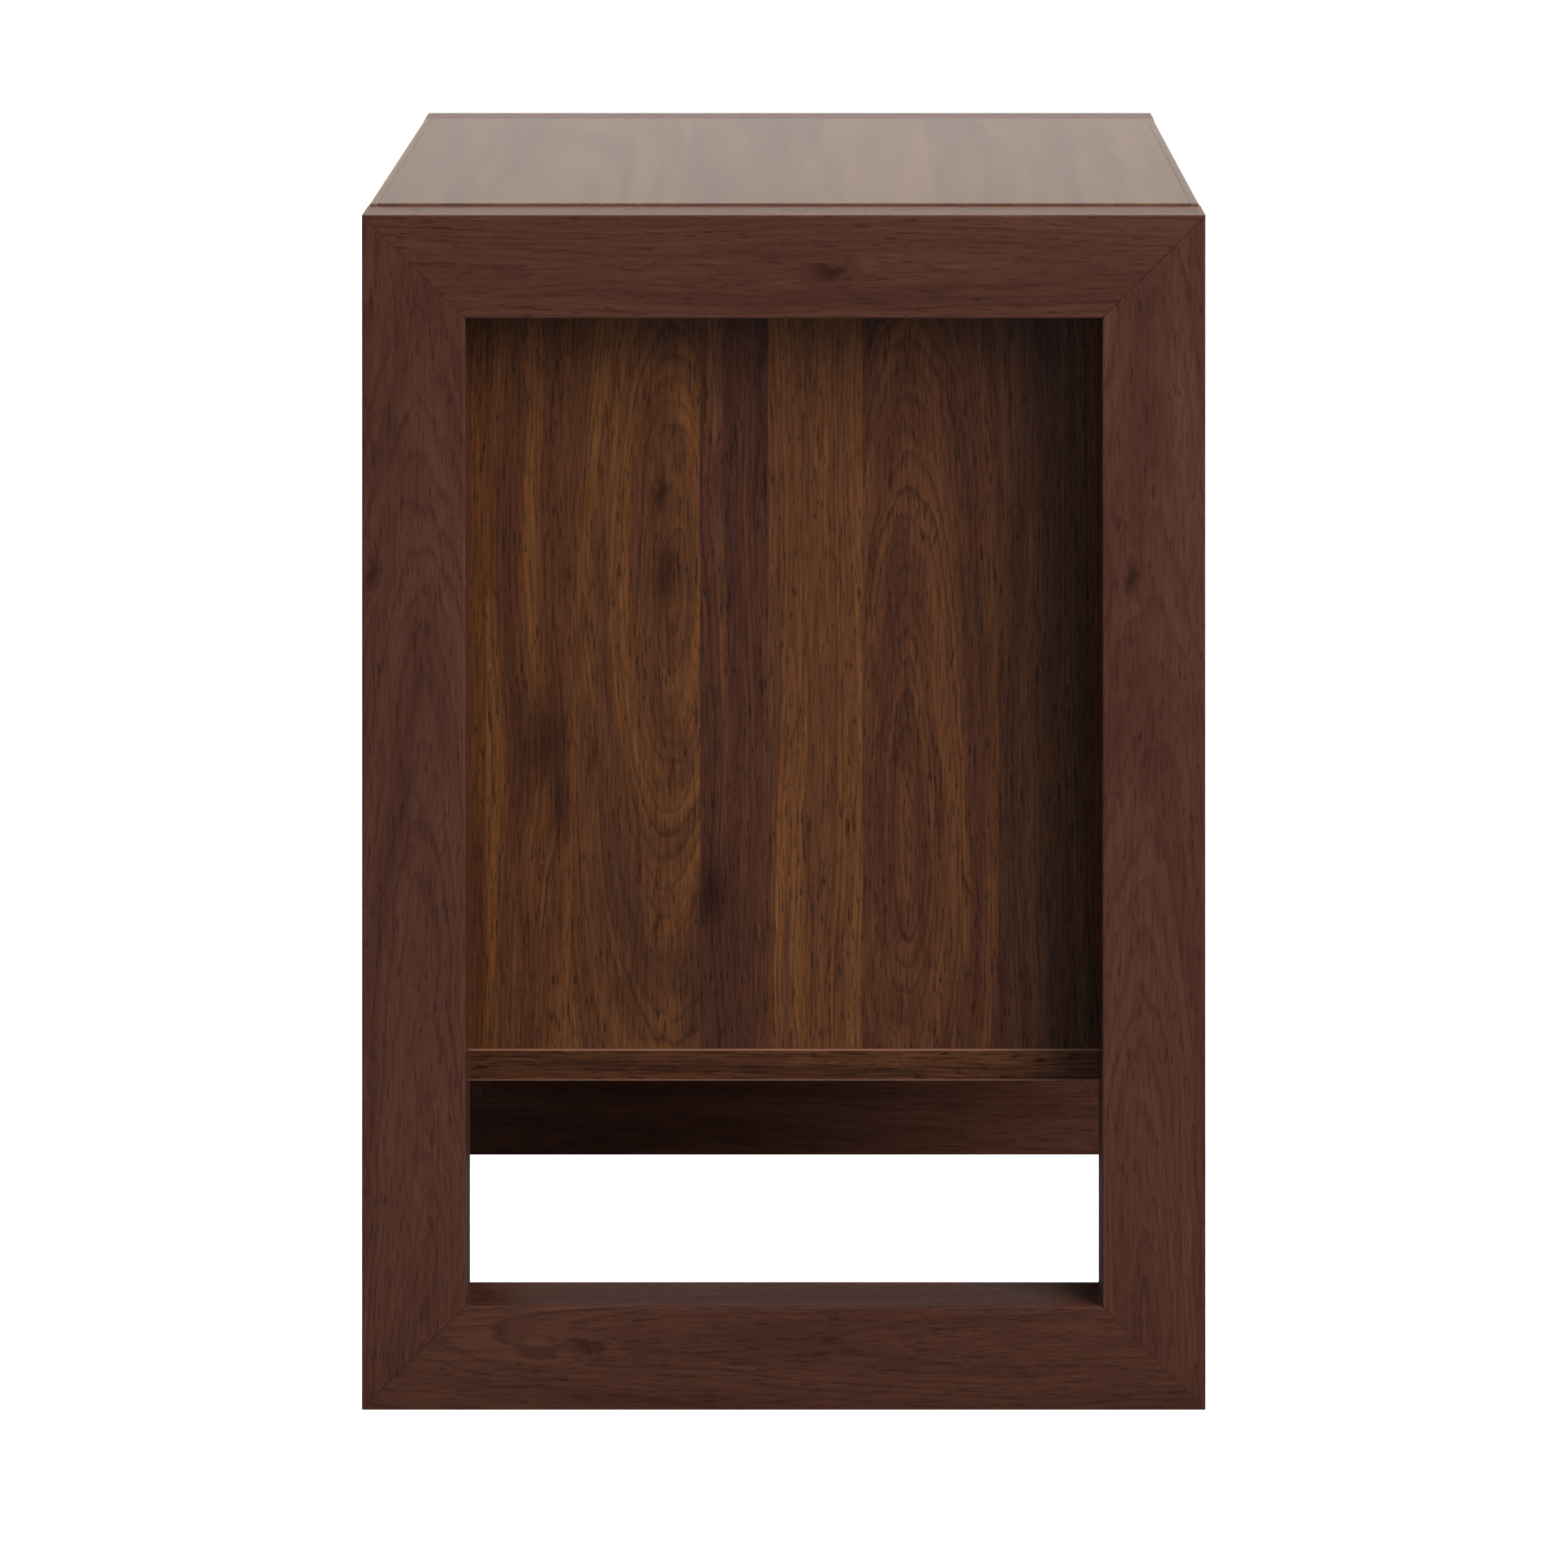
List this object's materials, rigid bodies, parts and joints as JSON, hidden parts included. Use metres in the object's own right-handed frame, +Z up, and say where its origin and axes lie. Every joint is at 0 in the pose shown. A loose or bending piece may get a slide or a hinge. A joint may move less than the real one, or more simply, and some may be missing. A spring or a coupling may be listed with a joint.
{
  "type": "cube storage unit",
  "caption": "Walnut storage cube with an open, shelved compartment, carried clear of the floor between mitred rectangular end frames.",
  "frame": {"origin": "on the floor under the middle of the unit", "axes": "+Z up; +Y from the near end frame to the far one, so looking along +Y faces the near end; +X out of the open compartment"},
  "size_m": [0.457, 0.603, 0.648],
  "materials": {
    "frame_walnut": "solid walnut, dark stain, satin lacquer",
    "panel_walnut": "planked walnut veneer, satin lacquer",
    "top_walnut": "planked walnut veneer, satin lacquer",
    "lipping_walnut": "solid walnut strip, satin lacquer",
    "beech": "bare beech, fluted or planed",
    "zinc_steel": "bright zinc plate",
    "brass": "turned brass",
    "black_nylon": "moulded nylon, matte"
  },
  "bodies": {
    "unit": {"near_frame_top_rail": "frame_walnut", "near_frame_right_stile": "frame_walnut", "near_frame_bottom_rail": "frame_walnut", "near_frame_left_stile": "frame_walnut", "far_frame_top_rail": "frame_walnut", "far_frame_right_stile": "frame_walnut", "far_frame_bottom_rail": "frame_walnut", "far_frame_left_stile": "frame_walnut", "near_frame_top_left_tenon": "beech", "near_frame_top_right_tenon": "beech", "near_frame_bottom_right_tenon": "beech", "near_frame_bottom_left_tenon": "beech", "far_frame_top_left_tenon": "beech", "far_frame_top_right_tenon": "beech", "far_frame_bottom_right_tenon": "beech", "far_frame_bottom_left_tenon": "beech", "near_left_foot_insert": "brass", "near_right_foot_insert": "brass", "far_left_foot_insert": "brass", "far_right_foot_insert": "brass", "case_top_board": "top_walnut", "top_front_lipping": "lipping_walnut", "top_rear_lipping": "lipping_walnut", "case_bottom_board": "panel_walnut", "bottom_front_lipping": "lipping_walnut", "bottom_near_lipping": "lipping_walnut", "bottom_far_lipping": "lipping_walnut", "near_end_panel": "panel_walnut", "near_panel_front_lipping": "lipping_walnut", "far_end_panel": "panel_walnut", "far_panel_front_lipping": "lipping_walnut", "back_panel": "panel_walnut", "near_rear_shelf_pin": "brass", "near_front_shelf_pin": "brass", "far_rear_shelf_pin": "brass", "far_front_shelf_pin": "brass", "near_left_lower_screw": "zinc_steel", "near_left_upper_screw": "zinc_steel", "near_right_lower_screw": "zinc_steel", "near_right_upper_screw": "zinc_steel", "far_left_lower_screw": "zinc_steel", "far_left_upper_screw": "zinc_steel", "far_right_lower_screw": "zinc_steel", "far_right_upper_screw": "zinc_steel", "near_bottom_left_dowel": "beech", "near_bottom_right_dowel": "beech", "near_top_left_dowel": "beech", "near_top_right_dowel": "beech", "far_bottom_left_dowel": "beech", "far_bottom_right_dowel": "beech", "far_top_left_dowel": "beech", "far_top_right_dowel": "beech"},
    "shelf": {"adjustable_shelf": "panel_walnut", "shelf_front_lipping": "lipping_walnut"},
    "near_left_foot": {"near_left_levelling_foot": "black_nylon"},
    "near_right_foot": {"near_right_levelling_foot": "black_nylon"},
    "far_left_foot": {"far_left_levelling_foot": "black_nylon"},
    "far_right_foot": {"far_right_levelling_foot": "black_nylon"}
  },
  "joints": [
    {"name": "shelf_slide", "type": "slide", "parent": "unit", "child": "shelf", "axis": [1, 0, 0], "range_m": [0, 0.15]},
    {"name": "near_left_foot_thread", "type": "slide", "parent": "unit", "child": "near_left_foot", "axis": [0, 0, 1], "range_m": [-0.01, 0]},
    {"name": "near_right_foot_thread", "type": "slide", "parent": "unit", "child": "near_right_foot", "axis": [0, 0, 1], "range_m": [-0.01, 0]},
    {"name": "far_left_foot_thread", "type": "slide", "parent": "unit", "child": "far_left_foot", "axis": [0, 0, 1], "range_m": [-0.01, 0]},
    {"name": "far_right_foot_thread", "type": "slide", "parent": "unit", "child": "far_right_foot", "axis": [0, 0, 1], "range_m": [-0.01, 0]}
  ]
}
